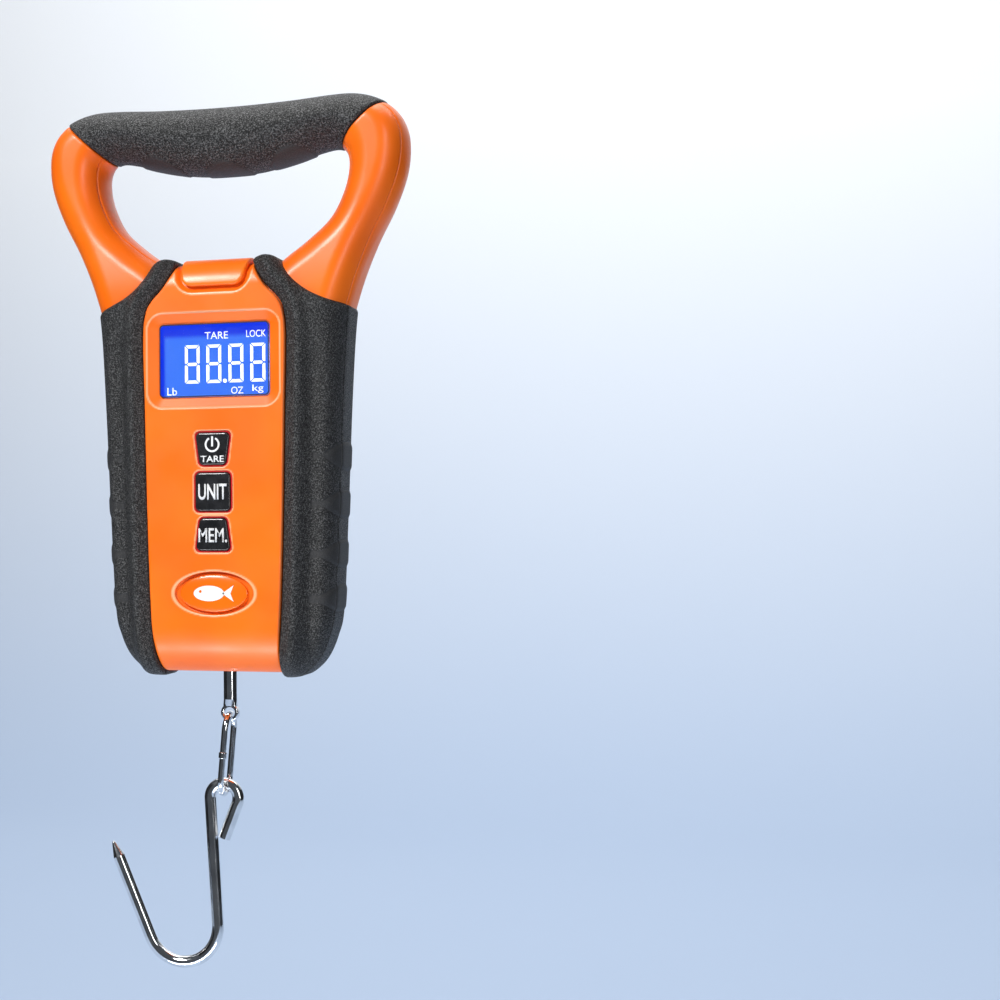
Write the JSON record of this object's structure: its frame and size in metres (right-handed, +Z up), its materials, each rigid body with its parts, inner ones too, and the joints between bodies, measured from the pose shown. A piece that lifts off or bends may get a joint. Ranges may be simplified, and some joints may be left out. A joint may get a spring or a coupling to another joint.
{
  "type": "digital fish scale",
  "caption": "Hand-held digital hanging scale with a D-shaped grip, a lit display, rubber sides and a swivelling hook on a short link.",
  "frame": {"origin": "the middle of the hand grip, where the scale is held", "axes": "+Z up along the line of pull, -Y out of the display, +X to the right of someone facing the display"},
  "size_m": [0.0942, 0.0272, 0.2185],
  "materials": {
    "orange_shell": "satin orange ABS",
    "orange_pad": "satin orange ABS",
    "orange_door": "satin orange ABS",
    "orange_badge": "glossy domed badge",
    "rubber_side": "coarse grained overmoulded rubber",
    "rubber_handle": "coarse grained rubber sleeve",
    "lens": "clear polished acrylic",
    "lcd": "blue backlit liquid crystal display",
    "zebra_rubber": "conductive elastomer strip",
    "backlight": "light guide",
    "key_gasket": "red silicone",
    "switch_metal": "tact switches",
    "board": "green solder mask",
    "chip": "black moulded package",
    "ceramic": "ceramic",
    "battery": "plain wrapped cell",
    "contact": "nickel plated spring steel",
    "load_cell": "milled",
    "gauge_film": "polyimide film",
    "steel": "turned",
    "chromed_rod": "polished",
    "chromed_link": "polished",
    "chromed_hook": "polished",
    "seal_rubber": "smooth",
    "screw_steel": "zinc plated",
    "key": "glossy black"
  },
  "bodies": {
    "root": {"front_shell": "orange_shell", "rear_shell": "orange_shell", "top_pad": "orange_pad", "oval_badge": "orange_badge", "front_grip_right": "rubber_side", "front_grip_left": "rubber_side", "rear_grip_right": "rubber_side", "rear_grip_left": "rubber_side", "handle_grip": "rubber_handle", "display_lens": "lens", "lcd_panel": "lcd", "lcd_connector": "zebra_rubber", "backlight": "backlight", "key_gasket": "key_gasket", "dome_switches": "switch_metal", "main_board": "board", "controller_chip": "chip", "board_components": "ceramic", "buzzer": "chip", "battery_cells": "battery", "battery_contacts": "contact", "load_cell": "load_cell", "strain_gauges": "gauge_film", "gauge_flex": "gauge_film", "anchor_pin": "steel", "rod_washer": "steel", "rod_bush": "seal_rubber", "case_screws": "screw_steel"},
    "power_button": {"power_button": "key"},
    "unit_button": {"unit_button": "key"},
    "memory_button": {"memory_button": "key"},
    "rod": {"load_rod": "chromed_rod", "rod_nut": "steel"},
    "link": {"hook_link": "chromed_link"},
    "hook": {"hook": "chromed_hook"},
    "door": {"battery_door": "orange_door"}
  },
  "joints": [
    {"name": "power_press", "type": "slide", "parent": "root", "child": "power_button", "axis": [0, 1, 0], "range_m": [0, 0.0008], "stiffness_N_per_m": 1200},
    {"name": "unit_press", "type": "slide", "parent": "root", "child": "unit_button", "axis": [0, 1, 0], "range_m": [0, 0.0008], "stiffness_N_per_m": 1200},
    {"name": "memory_press", "type": "slide", "parent": "root", "child": "memory_button", "axis": [0, 1, 0], "range_m": [0, 0.0008], "stiffness_N_per_m": 1200},
    {"name": "rod_swivel", "type": "hinge", "parent": "root", "child": "rod", "pos_m": [0, 0, -0.13], "axis": [0, 0, 1], "continuous": true},
    {"name": "link_swing", "type": "hinge", "parent": "rod", "child": "link", "pos_m": [0, 0, -0.1443], "axis": [0, 1, 0], "range_deg": [-60, 60]},
    {"name": "hook_swing", "type": "hinge", "parent": "link", "child": "hook", "pos_m": [-0.0018, 0, -0.16175], "axis": [1, 0, 0], "range_deg": [-60, 60]},
    {"name": "door_lift", "type": "slide", "parent": "root", "child": "door", "axis": [0, 1, 0], "range_m": [0, 0.025]}
  ]
}
